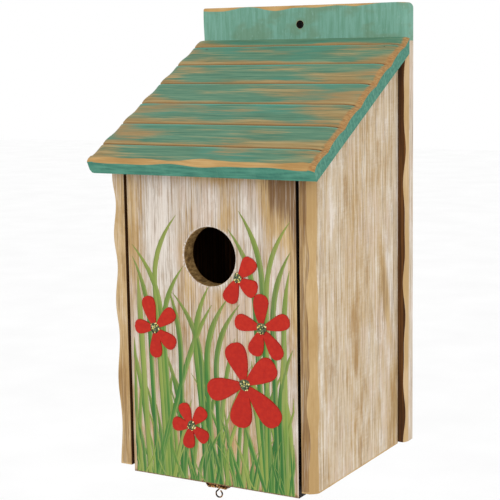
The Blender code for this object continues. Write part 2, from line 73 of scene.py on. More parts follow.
class Finish:
    """A wood or paint finish, mixed from procedural nodes over the piece's own metres."""

    def __init__(self, name, roughness, metallic=0.0):
        self.material = bpy.data.materials.new(name)
        self.material.use_nodes = True
        self.nodes = self.material.node_tree.nodes
        self.links = self.material.node_tree.links
        self.shader = self.nodes["Principled BSDF"]
        self.shader.inputs["Roughness"].default_value = roughness
        self.shader.inputs["Metallic"].default_value = metallic
        self.place = self.nodes.new("ShaderNodeTexCoord").outputs["Object"]

    def fill(self, socket, value):
        """Give a socket a number, a colour or another node's output."""
        if isinstance(value, bpy.types.NodeSocket):
            self.links.new(value, socket)
        else:
            socket.default_value = value

    def cloud(self, per_metre, detail=3.0, seed=0.0, rough=0.55, warp=0.0):
        """Noise with so many cycles a metre along X, Y and Z."""
        mapping = self.nodes.new("ShaderNodeMapping")
        self.links.new(self.place, mapping.inputs["Vector"])
        mapping.inputs["Scale"].default_value = per_metre
        mapping.inputs["Location"].default_value = (seed, 1.7 * seed, 0.6 * seed)
        cloud = self.nodes.new("ShaderNodeTexNoise")
        self.links.new(mapping.outputs["Vector"], cloud.inputs["Vector"])
        cloud.inputs["Scale"].default_value = 1.0
        cloud.inputs["Detail"].default_value = detail
        cloud.inputs["Roughness"].default_value = rough
        cloud.inputs["Distortion"].default_value = warp
        return cloud.outputs["Fac"]

    def marked(self, name):
        """A value that the mesh carries at its points."""
        mark = self.nodes.new("ShaderNodeAttribute")
        mark.attribute_name = name
        return mark.outputs["Fac"]

    def marks(self, name):
        """Three values that the mesh carries at its points."""
        mark = self.nodes.new("ShaderNodeAttribute")
        mark.attribute_name = name
        split = self.nodes.new("ShaderNodeSeparateXYZ")
        self.links.new(mark.outputs["Vector"], split.inputs[0])
        return split.outputs[0], split.outputs[1], split.outputs[2]

    def sum(self, *values):
        return self.chain("ADD", values)

    def product(self, *values):
        return self.chain("MULTIPLY", values)

    def chain(self, operation, values):
        total = values[0]
        for value in values[1:]:
            step = self.nodes.new("ShaderNodeMath")
            step.operation = operation
            self.fill(step.inputs[0], total)
            self.fill(step.inputs[1], value)
            total = step.outputs[0]
        return total

    def rise(self, value, low, high):
        """0 below low, 1 above high, smooth between them; falls instead if high is the lower."""
        step = self.nodes.new("ShaderNodeMapRange")
        step.interpolation_type = "SMOOTHSTEP"
        self.fill(step.inputs["Value"], value)
        step.inputs["From Min"].default_value = min(low, high)
        step.inputs["From Max"].default_value = max(low, high)
        step.inputs["To Min"].default_value = 0.0 if low < high else 1.0
        step.inputs["To Max"].default_value = 1.0 if low < high else 0.0
        return step.outputs["Result"]

    def over(self, under, share, top):
        """Colour of one coat over another."""
        mix = self.nodes.new("ShaderNodeMix")
        mix.data_type = "RGBA"
        self.fill(mix.inputs["Factor"], share)
        self.fill(mix.inputs["A"], under)
        self.fill(mix.inputs["B"], top)
        return mix.outputs["Result"]

    def glaze(self, under, value, low, high, share, web_colour):
        """A coat of one colour where the value lies past low, at most so much of it."""
        return self.over(under, self.product(self.rise(value, low, high), share), shade(web_colour))

    def tones(self, value, *stops):
        """Colour ramp through (position, web colour) stops."""
        ramp = self.nodes.new("ShaderNodeValToRGB")
        self.fill(ramp.inputs["Fac"], value)
        elements = ramp.color_ramp.elements
        while len(elements) < len(stops):
            elements.new(0.5)
        for element, (position, web_colour) in zip(elements, stops):
            element.position = position
            element.color = shade(web_colour)
        return ramp.outputs["Color"]

    def done(self, colour, height, depth, roughness=None):
        """Finish the shader: colour, relief of so many metres, and roughness if it varies."""
        self.fill(self.shader.inputs["Base Color"], colour)
        bump = self.nodes.new("ShaderNodeBump")
        bump.inputs["Strength"].default_value = 1.0
        bump.inputs["Distance"].default_value = depth
        self.fill(bump.inputs["Height"], height)
        self.links.new(bump.outputs["Normal"], self.shader.inputs["Normal"])
        if roughness is not None:
            self.fill(self.shader.inputs["Roughness"], roughness)
        self.shader.inputs["Specular IOR Level"].default_value = 0.25
        return self.material


def upright(across, along):
    """Noise scale for a board whose grain stands upright."""
    return (across, across, along)


def limewashed_pine(name, seed, lime_tones, saw=0.0):
    """Pine under thin brushed lime. The mesh carries lime, the coat's thickness, and bare,
    the millimetres past the edge of a planed strip. saw is the strength of level saw marks."""
    coat = Finish(name, 0.82)
    grain = coat.cloud(upright(1150, 16), 3, seed + 2, 0.7)
    streak = coat.cloud(upright(280, 9), 5, seed, 0.75)
    broad = coat.cloud(upright(60, 20), 5, seed + 5, 0.62)
    pores = coat.cloud(upright(1350, 26), 3, seed + 9, 0.75)
    marks = coat.cloud((90, 90, 760), 3, seed + 13, 0.65)
    blotch = coat.cloud(upright(95, 42), 6, seed + 17, 0.72)
    lime_coat = coat.marked("lime")
    wood = coat.tones(broad, (0.36, "AE8A58"), (0.5, "C2A271"), (0.64, "D0B487"))
    wood = coat.glaze(wood, streak, 0.60, 0.40, 0.45, "98784C")
    worn = coat.sum(lime_coat, coat.product(coat.sum(streak, grain, -1.0), 2.2))
    wood = coat.glaze(wood, worn, -1.0, -2.2, 0.85, "6B4B30")
    lime = coat.tones(grain, (0.36, lime_tones[0]), (0.5, lime_tones[1]), (0.64, lime_tones[2]))
    lime = coat.glaze(lime, broad, 0.48, 0.60, 0.35, "C9AA96")
    brushed = coat.sum(coat.product(grain, 1.7), coat.product(streak, 1.0), coat.product(broad, 1.8))
    blotched = coat.product(coat.sum(blotch, -0.5), coat.sum(coat.product(marks, 2.0 * saw), 1.2))
    cover = coat.sum(lime_coat, brushed, coat.product(marks, saw), blotched, -1.75 - 0.5 * saw)
    colour = coat.over(wood, coat.product(coat.rise(cover, -0.05, 0.85), 0.92), lime)
    bright_coat = coat.rise(coat.sum(cover, coat.product(blotch, 1.2)), 1.35, 1.9)
    colour = coat.over(colour, coat.product(bright_coat, 0.6), shade("E6DFD6"))
    colour = coat.glaze(colour, pores, 0.52, 0.64, 0.65, "7E6346")
    colour = coat.glaze(colour, pores, 0.46, 0.36, 0.30, "E2DACE")
    planed = coat.tones(broad, (0.36, "B59464"), (0.5, "C2A374"), (0.64, "CEB28A"))
    planed = coat.glaze(planed, grain, 0.60, 0.44, 0.25, "A28250")
    edge = coat.sum(coat.marked("bare"), coat.product(coat.sum(streak, -0.5), 1.6))
    colour = coat.over(colour, coat.rise(edge, -0.15, 0.25), planed)
    relief = coat.sum(
        coat.product(grain, 0.5), coat.product(pores, -0.4), coat.product(marks, 0.4 * saw))
    return coat.done(colour, relief, 0.35 * MM)


def stain_and_shade_pine(name, *stops):
    """Pine under a dark walnut stain, as on the faces that aren't limed; the tones are dark
    enough to paint the shade on them too, down to near black for painted gap shadow.
    """
    coat = Finish(name, 0.7)
    streak = coat.cloud(upright(420, 10), 4, 3.0, 0.65)
    return coat.done(coat.tones(streak, *stops), streak, 0.2 * MM)


def add_object(name, data):
    item = bpy.data.objects.new(name, data)
    bpy.context.scene.collection.objects.link(item)
    return item


def skin(name, rings, finishes, choose, closed=False):
    """Closed mesh through rings of points. choose gives a face's finish number from its centre
    and normal."""
    count = len(rings[0])
    points = [point for ring in rings for point in ring]
    bands = len(rings) if closed else len(rings) - 1
    faces = []
    for band in range(bands):
        here = band * count
        there = (band + 1) % len(rings) * count
        for i in range(count):
            j = (i + 1) % count
            faces.append((here + i, here + j, there + j, there + i))
    if not closed:
        faces.append(tuple(range(count)))
        faces.append(tuple(range(len(points) - count, len(points))))
    mesh = bpy.data.meshes.new(name)
    mesh.from_pydata(points, [], faces)
    bm = bmesh.new()
    bm.from_mesh(mesh)
    bmesh.ops.recalc_face_normals(bm, faces=bm.faces[:])
    bm.to_mesh(mesh)
    bm.free()
    for finish in finishes:
        mesh.materials.append(finish)
    for face in mesh.polygons:
        face.material_index = choose(face.center, face.normal)
    return add_object(name, mesh)


def raise_grain(piece, per_metre, depth):
    """Press the soft rings of the wood in by up to depth, along the grain."""
    mesh = piece.data
    normals = [vertex.normal.copy() for vertex in mesh.vertices]
    for vertex, normal in zip(mesh.vertices, normals):
        place = Vector(a * b for a, b in zip(vertex.co, per_metre))
        vertex.co -= normal * depth * (0.5 + 0.5 * noise.noise(place))


def mark(piece, name, value_at):
    """Store a value at every point of a piece, for its finish to read."""
    layer = piece.data.attributes.new(name, "FLOAT", "POINT")
    for vertex, item in zip(piece.data.vertices, layer.data):
        item.value = value_at(vertex.co)


def smooth(piece, angle=28.0):
    """Shade smooth, but keep the edges that turn by more than so many degrees."""
    piece.data.shade_smooth()
    piece.data.set_sharp_from_angle(angle=math.radians(angle))


def shares(count):
    """Evenly spaced shares from 0 to 1, in so many steps."""
    return [i / count for i in range(count + 1)]


def spread(start, stop, spacing):
    """Evenly spaced values from start to stop, no further apart than spacing."""
    count = max(1, math.ceil(abs(stop - start) / spacing))
    return [start + (stop - start) * share for share in shares(count)]


def planed_swell(distance, phase):
    """Uneven swell of a hand-planed corner, between about -1 and 1."""
    long_swell = 0.62 * math.sin(2 * math.pi * distance / (63 * MM) + phase)
    short_swell = 0.38 * math.sin(2 * math.pi * distance / (37 * MM) + 2.3 * phase)
    return long_swell + short_swell


def patch(across, up, middle, size, strength):
    """Soft oval patch of a coat."""
    reach = ((across - middle[0]) / size[0]) ** 2 + ((up - middle[1]) / size[1]) ** 2
    return strength * math.exp(-reach)


def planed_corner(across, along):
    """Points over a corner that is planed off, a little rounded, from one face to the other."""
    points = []
    for share in shares(CORNER_STEPS):
        belly = 0.10 * math.sin(math.pi * share)
        points.append((across * (1 - share - belly), along * (share - belly)))
    return points


RING_SPACING = 2.0 * MM
CORNER_STEPS = 6
UPRIGHT_GRAIN = upright(430, 12)
GRAIN_RELIEF = 0.10 * MM
ROOF_SLOPE = math.radians(28.1)
SIDE_STROKE = {"left": 3.0 * MM, "right": 4.6 * MM}
SIDE_STROKE_SWING = {"left": 1.7 * MM, "right": 1.3 * MM}
SIDE_PHASE_RIGHT = 2.1
SIDE_FRONT_STEPS = 6
SIDE_OUTER_STEPS = 88
SIDE_REAR_STEPS = 4
SIDE_INNER_STEPS = 12
SIDE_END_BARE = 1.0 * MM

# Patches of lime on the side panels: middle and size (back from the front, up from the bottom,
# in metres), and how much thicker the coat is there, or thinner if negative.
SIDE_LIME_PATCHES = (
    ((0.026, 0.17), (0.013, 0.06), 0.32),
    ((0.030, 0.05), (0.016, 0.05), 0.25),
    ((0.116, 0.14), (0.010, 0.07), 0.45),
    ((0.128, 0.16), (0.0022, 0.07), 0.9),
    ((0.009, 0.10), (0.0030, 0.09), 0.45),
    ((0.085, 0.07), (0.022, 0.05), 0.25),
    ((0.060, 0.15), (0.014, 0.08), -0.20),
    ((0.122, 0.02), (0.012, 0.05), -0.45),
)

# Walnut stain kept dark as painted shade: the insides of the box, the roof's underside and the back's
# strips beside the box.
stain_and_shade = stain_and_shade_pine("walnut_stain_and_painted_shade", (0.34, "2E1A07"), (0.5, "4C2C0D"), (0.66, "6E461C"))


def side_swell(side, rise):
    """Swell of a side panel's planed corner; on the left the strokes get shorter upwards."""
    if side == "right":
        return planed_swell(rise, SIDE_PHASE_RIGHT)
    up = rise / MM
    return math.cos(2 * math.pi * (-0.39 + 0.013 * up + 0.000035 * up ** 2))


def side_lime(side, depth, rise, height):
    """Thickness of the lime on a side panel: heavy under the roof and at the rear, thin low
    down. The narrow front face is thinner still."""
    up = rise / height
    if depth < 0.3 * MM:
        return -1.7 if side == "right" else -1.2 + 1.4 * up
    coat = 0.02 + 0.25 * max(0.0, up - 0.55)
    for middle, size, strength in SIDE_LIME_PATCHES:
        coat += patch(depth, rise, middle, size, strength)
    # A wedge where the board was wiped bare on a slant, with a bright edge of lime beside it.
    wedge = depth - 0.098 - 0.22 * (0.150 - rise)
    coat += patch(wedge, rise, (0.0, 0.112), (0.0042, 0.032), -1.3)
    coat += patch(wedge, rise, (0.009, 0.118), (0.0030, 0.034), 0.5)
    return coat


def side_panel(side, sign):
    low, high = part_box("side_panel_" + side)
    thickness = high.x - low.x
    depth = high.y - low.y
    height = high.z - low.z
    outside = max(high.x, -low.x)
    front_height = height - depth * math.tan(ROOF_SLOPE)

    def stroke(rise):
        return SIDE_STROKE[side] + SIDE_STROKE_SWING[side] * side_swell(side, rise)

    rings = []
    for rise in spread(0.0, front_height, RING_SPACING):
        cut = stroke(rise)
        front = [(thickness + (cut - thickness) * t, 0.0) for t in shares(SIDE_FRONT_STEPS)[:-1]]
        outer = [(0.0, cut + (depth - cut) * t) for t in shares(SIDE_OUTER_STEPS)[1:]]
        back = [(thickness * t, depth) for t in shares(SIDE_REAR_STEPS)[1:]]
        inner = [(thickness, depth * (1 - t)) for t in shares(SIDE_INNER_STEPS)[1:-1]]
        share = rise / front_height
        ring = []
        for x, y in front + planed_corner(cut, cut) + outer + back + inner:
            level = share * (front_height + y * math.tan(ROOF_SLOPE))
            ring.append(Vector((sign * (outside - x), low.y + y, low.z + level)))
        rings.append(ring)

    def choose(centre, normal):
        return 1 if normal.x * sign < -0.9 else 0

    lime_tones = ("C0AC8E", "D0BFA5", "DED1BD")
    coat = limewashed_pine("limewash_" + side, 11.0 + sign, lime_tones, 0.45)
    piece = skin("side_board_" + side, rings, [coat, stain_and_shade], choose)

    def bare(point):
        inward = outside - abs(point.x)
        rise = point.z - low.z
        cut = stroke(min(rise, front_height))
        planed = cut - max(inward, point.y - low.y)
        return max(planed, SIDE_END_BARE - rise) / MM

    mark(piece, "bare", bare)
    mark(piece, "lime", lambda point: side_lime(side, point.y - low.y, point.z - low.z, height))
    raise_grain(piece, UPRIGHT_GRAIN, GRAIN_RELIEF)
    smooth(piece)
    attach(piece, "box")
    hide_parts("side_panel_" + side)


side_panel("left", -1)
side_panel("right", 1)


# Back board -----------------------------------------------
# One pine board behind the box, nailed on, that hangs on a nail or screw through its top. It is
# painted green above the roof, stained dark in the strips beside the box, a dark that also
# paints their shade, and planed along its edges.

BACK_STROKE = 1.4 * MM
BACK_STROKE_SWING = 1.1 * MM
BACK_STROKE_DEPTH = 5.0 * MM
BACK_STROKE_PHASE = {1: 0.4, -1: 2.0}
BACK_CORNER = {-1: 1.2 * MM, 1: 4.0 * MM}
BACK_TOP_STROKE = 1.9 * MM
BACK_TOP_SWING = 1.7 * MM
BACK_TOP_SLANT = 0.8
BACK_CORNER_STEPS = 10
BACK_REAR_STEPS = 12
BACK_EDGE_STEPS = 4
BACK_FACE_STEPS = 90
BORE_RADIUS = 2.9 * MM
BORE_REACH = 30 * MM
DRILL_SIDES = 64


def green_on_pine(name, seed):
    """Flat green paint over pine. The mesh carries bare, as on the limed boards."""
    coat = Finish(name, 0.72)
    streak = coat.cloud((420, 420, 40), 4, seed, 0.65)
    broad = coat.cloud((34, 34, 60), 3, seed + 4)
    fleck = coat.cloud((900, 900, 340), 2, seed + 7)
    paint = coat.tones(streak, (0.34, "66957F"), (0.5, "70A08D"), (0.66, "7BAA99"))
    paint = coat.glaze(paint, broad, 0.46, 0.60, 0.6, "6C8C70")
    paint = coat.glaze(paint, fleck, 0.62, 0.72, 0.45, "87AE9F")
    wood = coat.tones(broad, (0.36, "A88048"), (0.5, "B8925A"), (0.64, "C6A26C"))
    edge = coat.sum(coat.marked("bare"), coat.product(coat.sum(broad, -0.5), 3.0))
    colour = coat.over(paint, coat.rise(edge, -0.15, 0.2), wood)
    return coat.done(colour, coat.sum(coat.product(streak, 0.7), coat.product(fleck, 0.3)), 0.25 * MM)


def raw_pine(name, per_metre, seed):
    """Bare sawn pine; its grain runs the way that per_metre has few cycles."""
    coat = Finish(name, 0.85)
    rings_of_wood = coat.cloud(per_metre, 4, seed, 0.65)
    broad = coat.cloud(tuple(0.2 * part for part in per_metre), 3, seed + 2)
    colour = coat.tones(rings_of_wood, (0.34, "96703F"), (0.5, "B08A58"), (0.66, "C4A274"))
    colour = coat.glaze(colour, broad, 0.45, 0.65, 0.5, "A27B4A")
    return coat.done(colour, rings_of_wood, 0.3 * MM)


def drilled_pine(name, *stops):
    """Inside of a drilled hole: end grain, darker than the faces, a dark that also paints
    the shade inside the hole.
    """
    coat = Finish(name, 0.9)
    end_grain = coat.cloud((700, 200, 260), 4, 2.0, 0.7)
    return coat.done(coat.tones(end_grain, *stops), end_grain, 0.3 * MM)


def drill(piece, middle, direction, radius, reach, finish_number):
    """Cut a round hole through a piece; the wall of the hole gets its own finish."""
    cutter_bm = bmesh.new()
    turn = Vector((0, 0, 1)).rotation_difference(Vector(direction)).to_matrix().to_4x4()
    bmesh.ops.create_cone(
        cutter_bm, cap_ends=True, segments=DRILL_SIDES, radius1=radius, radius2=radius,
        depth=2 * reach, matrix=Matrix.Translation(middle) @ turn)
    for face in cutter_bm.faces:
        face.material_index = finish_number
    cutter_mesh = bpy.data.meshes.new("drill")
    cutter_bm.to_mesh(cutter_mesh)
    cutter_bm.free()
    for finish in piece.data.materials:
        cutter_mesh.materials.append(finish)
    cutter = add_object("drill", cutter_mesh)
    hole = piece.modifiers.new("hole", "BOOLEAN")
    hole.operation = "DIFFERENCE"
    hole.object = cutter
    bpy.context.view_layer.update()
    cut_piece = piece.evaluated_get(bpy.context.evaluated_depsgraph_get())
    cut_mesh = bpy.data.meshes.new_from_object(cut_piece)
    piece.modifiers.remove(hole)
    piece.data = cut_mesh
    bpy.data.objects.remove(cutter)
    bpy.data.meshes.remove(cutter_mesh)


back_low, back_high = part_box("back_board")
roof_low, roof_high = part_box("roof_board")
roof_line = roof_high.z - 3.0 * MM


def back_top_stroke(x):
    """How far down the top edge is planed; the strokes die out towards the right."""
    fade = 0.55 + 0.45 * math.tanh((0.045 - x) / 0.015)
    return (BACK_TOP_STROKE + BACK_TOP_SWING * planed_swell(x + 0.02, 0.9)) * max(0.1, fade)


def back_side_stroke(sign, level):
    """Width of the planed strip up one edge of the back board."""
    return BACK_STROKE + BACK_STROKE_SWING * planed_swell(level, BACK_STROKE_PHASE[sign])


def back_board():
    half_width = back_high.x
    top = back_high.z
    corner_start = top - BACK_CORNER[1]
    face = back_low.y
    levels = spread(back_low.z, corner_start, RING_SPACING)
    for t in shares(BACK_CORNER_STEPS)[1:]:
        levels.append(corner_start + BACK_CORNER[1] * math.sin(math.pi / 2 * t))
    rings = []
    for level in levels:
        ends = {}
        for sign, radius in BACK_CORNER.items():
            rounding = max(0.0, level - top + radius)
            ends[sign] = half_width - radius + math.sqrt(max(0.0, radius ** 2 - rounding ** 2))
        shoulder = face + BACK_STROKE_DEPTH
        across = ends[1] + ends[-1]
        ring = [Vector((across * t - ends[-1], 0.0, level)) for t in shares(BACK_REAR_STEPS)[:-1]]
        ring += [Vector((ends[1], shoulder * t, level)) for t in shares(BACK_EDGE_STEPS)[:-1]]
        inset = {sign: back_side_stroke(sign, level) for sign in BACK_STROKE_PHASE}
        strokes = {sign: planed_corner(inset[sign], BACK_STROKE_DEPTH) for sign in inset}
        ring += [Vector((ends[1] - a, face + b, level)) for a, b in strokes[1][::-1]]
        right = ends[1] - inset[1]
        left = inset[-1] - ends[-1]
        ring += [Vector((right + (left - right) * t, face, level))
                 for t in shares(BACK_FACE_STEPS)[1:-1]]
        ring += [Vector((a - ends[-1], face + b, level)) for a, b in strokes[-1]]
        ring += [Vector((-ends[-1], shoulder * (1 - t), level))
                 for t in shares(BACK_EDGE_STEPS)[1:-1]]
        for point in ring:
            planed = point.z - (top - back_top_stroke(point.x))
            if planed > 0 and point.y < face / 2:
                point.y = max(point.y, face + BACK_TOP_SLANT * planed)
        rings.append(ring)

    def choose(centre, normal):
        if normal.y > 0.9:
            return 2
        if centre.z > roof_line:
            return 0
        # Painted shade: the front below the roof takes the dark stain, for the shade beside and
        # inside the box.
        return 1 if normal.y < -0.98 else 3

    # Painted shade: the hanging hole's wall is near black, for the shade inside the hole.
    finishes = [green_on_pine("green_back", 3.0), stain_and_shade, raw_pine("rear_pine", (300, 8, 8), 1.0),
                limewashed_pine("limewash_back", 21.0, ("BFAE97", "CDC0AE", "D8CEC0")),
                drilled_pine("drilled_back_painted_shade", (0.36, "0A0604"), (0.64, "1E140C"))]
    piece = skin("back_panel", rings, finishes, choose)

    def bare(point):
        cut = back_side_stroke(1 if point.x > 0 else -1, point.z)
        side = 1 - max((half_width - abs(point.x)) / cut, (point.y - face) / BACK_STROKE_DEPTH)
        top_edge = (point.z - (top - back_top_stroke(point.x))) / MM
        if point.z > roof_line:
            return max(-2.0, top_edge)
        return max(3.0 * side, -2.0)

    mark(piece, "bare", bare)
    mark(piece, "lime", lambda point: 0.35)
    raise_grain(piece, UPRIGHT_GRAIN, GRAIN_RELIEF)
    drill(piece, Vector((0, 0, 0)), (0, 1, 0), BORE_RADIUS, BORE_REACH, 4)
    smooth(piece)
    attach(piece, "box")
    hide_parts("back_board")


back_board()


# Floor board ----------------------------------------------
# A pine board between the sides, nailed through them. It stays unpainted; the front shuts
# against its edge and a brass pin stands in its underside.

def finish_node(name, finish):
    """Give a solid of the frame its finish."""
    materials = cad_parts[name].data.materials
    materials.clear()
    materials.append(finish)


finish_node("floor_board", raw_pine("floor_pine", (9, 260, 260), 5.0))


# Roof board -----------------------------------------------
# One sloping board, grooved across to look like six laths and a narrow strip behind them. It is
# painted green, sanded until the wood shows at the laths' ends and edges, and planed in front.

GROOVE_FIRST = 20.8 * MM
GROOVE_PITCH = 26.6 * MM
GROOVES = 6
GROOVE_HALF_WIDTH = 0.9 * MM
GROOVE_DEPTH = 1.4 * MM
ROOF_SIDE_STROKE = 4.2 * MM
ROOF_SIDE_SWING = 0.5 * MM
ROOF_SIDE_DROP = {-1: 0.3 * MM, 1: 1.3 * MM}
ROOF_LATH_DROP = 1.1 * MM
ROOF_CORNER = 2.4 * MM
ROOF_FRONT_STROKE = 3.9 * MM
ROOF_FRONT_SWING = 2.1 * MM
ROOF_EDGE_STEPS = 5
ROOF_END_STEPS = 4
ROOF_UNDER_STEPS = 9
ROOF_COLUMN_SPACING = 2.2 * MM
ROOF_RUN_SPACING = 1.5 * MM
ROOF_END_SHARES = (0.0, 0.3, 0.65, 1.0)
ROOF_GRAIN = (14, 420, 420)
ROOF_GRAIN_RELIEF = 0.12 * MM
ROOF_END_EASE = 1.6
LATH_EDGE_FALL = 0.25 * MM
LATH_END_FALL = 1.05 * MM
LATH_EDGE_WIDTH = 3.2 * MM
LATH_END_WIDTH = 2.6 * MM

roof_half = roof_high.x
roof_depth = roof_high.y - roof_low.y
roof_length = roof_depth / math.cos(ROOF_SLOPE)
roof_front_top = Vector((0.0, roof_low.y, roof_high.z - roof_length * math.sin(ROOF_SLOPE)))
roof_thickness = (roof_front_top.z - roof_low.z) / math.cos(ROOF_SLOPE)
grooves = [GROOVE_FIRST + GROOVE_PITCH * i for i in range(GROOVES)]


def lath_share(run):
    """Where a point lies on its lath, from 0 at the lath's lower edge to 1 at its upper edge."""
    return ((run - GROOVE_FIRST) / GROOVE_PITCH) % 1.0


def lath_fall(x, run):
    """How far the rounded edge of a lath lies below its middle; the ends are sanded rounder."""
    gap = min(abs(run - groove) for groove in grooves)
    end = max(0.0, min(1.0, x / roof_half) - 0.86) / 0.14
    width = LATH_EDGE_WIDTH + LATH_END_WIDTH * end
    round_edge = (LATH_EDGE_FALL + LATH_END_FALL * end) * math.exp(-((gap / width) ** 2))
    sharp_groove = max(0.0, GROOVE_DEPTH * (1 - gap / GROOVE_HALF_WIDTH)) * (1 - 0.75 * end)
    return round_edge + sharp_groove


def roof_side_stroke(x, run):
    return ROOF_SIDE_STROKE + ROOF_SIDE_SWING * planed_swell(run, 1.7 if x > 0 else 0.2)


def roof_front_stroke(x):
    return ROOF_FRONT_STROKE + ROOF_FRONT_SWING * planed_swell(x, 0.6)


def roof_runs(start):
    """Places up the slope, closer together at each groove."""
    runs = set()
    edges = [start] + grooves + [roof_length]
    for low, high in zip(edges, edges[1:]):
        first = low + (0 if low == start else 1.6 * GROOVE_HALF_WIDTH)
        last = high - (0 if high == roof_length else 1.6 * GROOVE_HALF_WIDTH)
        runs.update(spread(first, last, ROOF_RUN_SPACING))
    for groove in grooves:
        for shift in (-1.0, -0.5, -0.15, 0.15, 0.5, 1.0):
            runs.add(groove + shift * GROOVE_HALF_WIDTH)
    return sorted(runs)


def roof_board():
    inner = roof_half - ROOF_SIDE_STROKE - ROOF_SIDE_SWING - 0.6 * MM
    columns = [(-roof_half, share) for share in ROOF_END_SHARES]
    columns += [(x, None) for x in spread(-inner, inner, ROOF_COLUMN_SPACING)]
    columns += [(roof_half, share) for share in ROOF_END_SHARES[::-1]]
    start = ROOF_FRONT_STROKE + ROOF_FRONT_SWING + 0.5 * MM
    top_runs = roof_runs(start)
    rings = []
    for column, share in columns:
        side = 1 if column > 0 else -1
        front = roof_front_stroke(column)
        drop = 0.5 * front
        inwards = 1.0 if share is None else share
        rim_drop = ROOF_SIDE_DROP[side] * (1 - inwards) ** ROOF_END_EASE
        lift = 0.0
        short = ROOF_CORNER - inwards * ROOF_SIDE_STROKE
        if side < 0 and short > 0:
            lift = ROOF_CORNER - math.sqrt(ROOF_CORNER ** 2 - short ** 2)
        edge_height = roof_thickness - drop - rim_drop - lift
        ring = []
        for t in shares(ROOF_EDGE_STEPS)[:-1]:
            ring.append((0.0, -roof_thickness + lift + edge_height * t))
        for run, level in planed_corner(front, drop)[::-1]:
            ring.append((run, -level - rim_drop))
        for t in shares(ROOF_END_STEPS)[1:-1]:
            ring.append((front + (start - front) * t, -rim_drop))
        for run in top_runs:
            end_drop = 0.0
            if side < 0:
                notch = 0.5 + 0.5 * math.cos(2 * math.pi * (lath_share(run) - 0.65))
                end_drop = ROOF_LATH_DROP * notch * (1 - inwards) ** ROOF_END_EASE
            ring.append((run, -lath_fall(column, run) - rim_drop - end_drop))
        back = roof_length - roof_thickness * math.tan(ROOF_SLOPE)
        for t in shares(ROOF_END_STEPS)[1:-1]:
            level = -roof_thickness * t
            ring.append((roof_length + level * math.tan(ROOF_SLOPE), level))
        for t in shares(ROOF_UNDER_STEPS):
            ring.append((back + (ROOF_CORNER - back) * t, -roof_thickness))
        points = []
        for run, level in ring:
            x = column
            if share is not None:
                x = side * (roof_half - share * roof_side_stroke(column, run))
                if level < -0.9 * roof_thickness:
                    x = side * (roof_half - share * ROOF_SIDE_STROKE)
            points.append(Vector((x, run, level)))
        rings.append(points)

    def choose(centre, normal):
        if normal.z < -0.7:
            return 1
        if abs(centre.x) > roof_half - 0.1 * MM:
            return 2
        return 3 if centre.y < 0.1 * MM else 0

    finishes = [worn_green("green_roof"), stain_and_shade, green_edge("green_roof_end", 0.45),
                green_edge("green_roof_front", 0.12)]
    piece = skin("roof_laths", rings, finishes, choose)

    def bare(point):
        return max(-3.0, (roof_front_stroke(point.x) - point.y) / MM)

    def end(point):
        planed = (roof_side_stroke(point.x, point.y) - (roof_half - abs(point.x))) / MM
        return max(-3.0, 0.45 * planed if point.x > 0 else planed - 4.4)

    mark(piece, "bare", bare)
    mark(piece, "end", end)
    mark(piece, "worn", roof_wear)
    mark(piece, "groove", groove_mark)
    # Mark for the painted highlight: 0 over most of a lath, rising to 1 at its upper edge.
    mark(piece, "bright_coat", lambda point: max(0.0, (lath_share(point.y) - 0.80) / 0.16))
    raise_grain(piece, ROOF_GRAIN, ROOF_GRAIN_RELIEF)
    smooth(piece)
    piece.location = roof_front_top
    piece.rotation_euler = (ROOF_SLOPE, 0, 0)
    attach(piece, "box")
    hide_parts("roof_board")


def groove_mark(point):
    """1 in the middle of a groove, falling to 0 a couple of millimetres away."""
    gap = min(abs(point.y - groove) for groove in grooves)
    return max(0.0, 1.0 - gap / (2.5 * MM))


def roof_wear(point):
    """How much of the green is sanded off: most at a lath's lower edge and towards the ends."""
    share = lath_share(point.y)
    lower_edge = 0.55 * max(0.0, 1.0 - share / 0.22)
    upper_edge = -0.30 * max(0.0, (share - 0.75) / 0.25)
    right = 0.34 * max(0.0, min(1.0, (point.x - 0.005) / 0.055))
    left = 0.40 * max(0.0, min(1.0, (-point.x - 0.052) / 0.025))
    row = math.floor((point.y - GROOVE_FIRST) / GROOVE_PITCH)
    drift = 0.75 * noise.noise(Vector((point.x * 26, point.y * 95, 3.7 * row)))
    low_half = 0.16 * (1 - share)
    narrow_strip = -0.45 if point.y > grooves[-1] else 0.0
    return lower_edge + upper_edge + right + left + drift + low_half + narrow_strip - 0.22


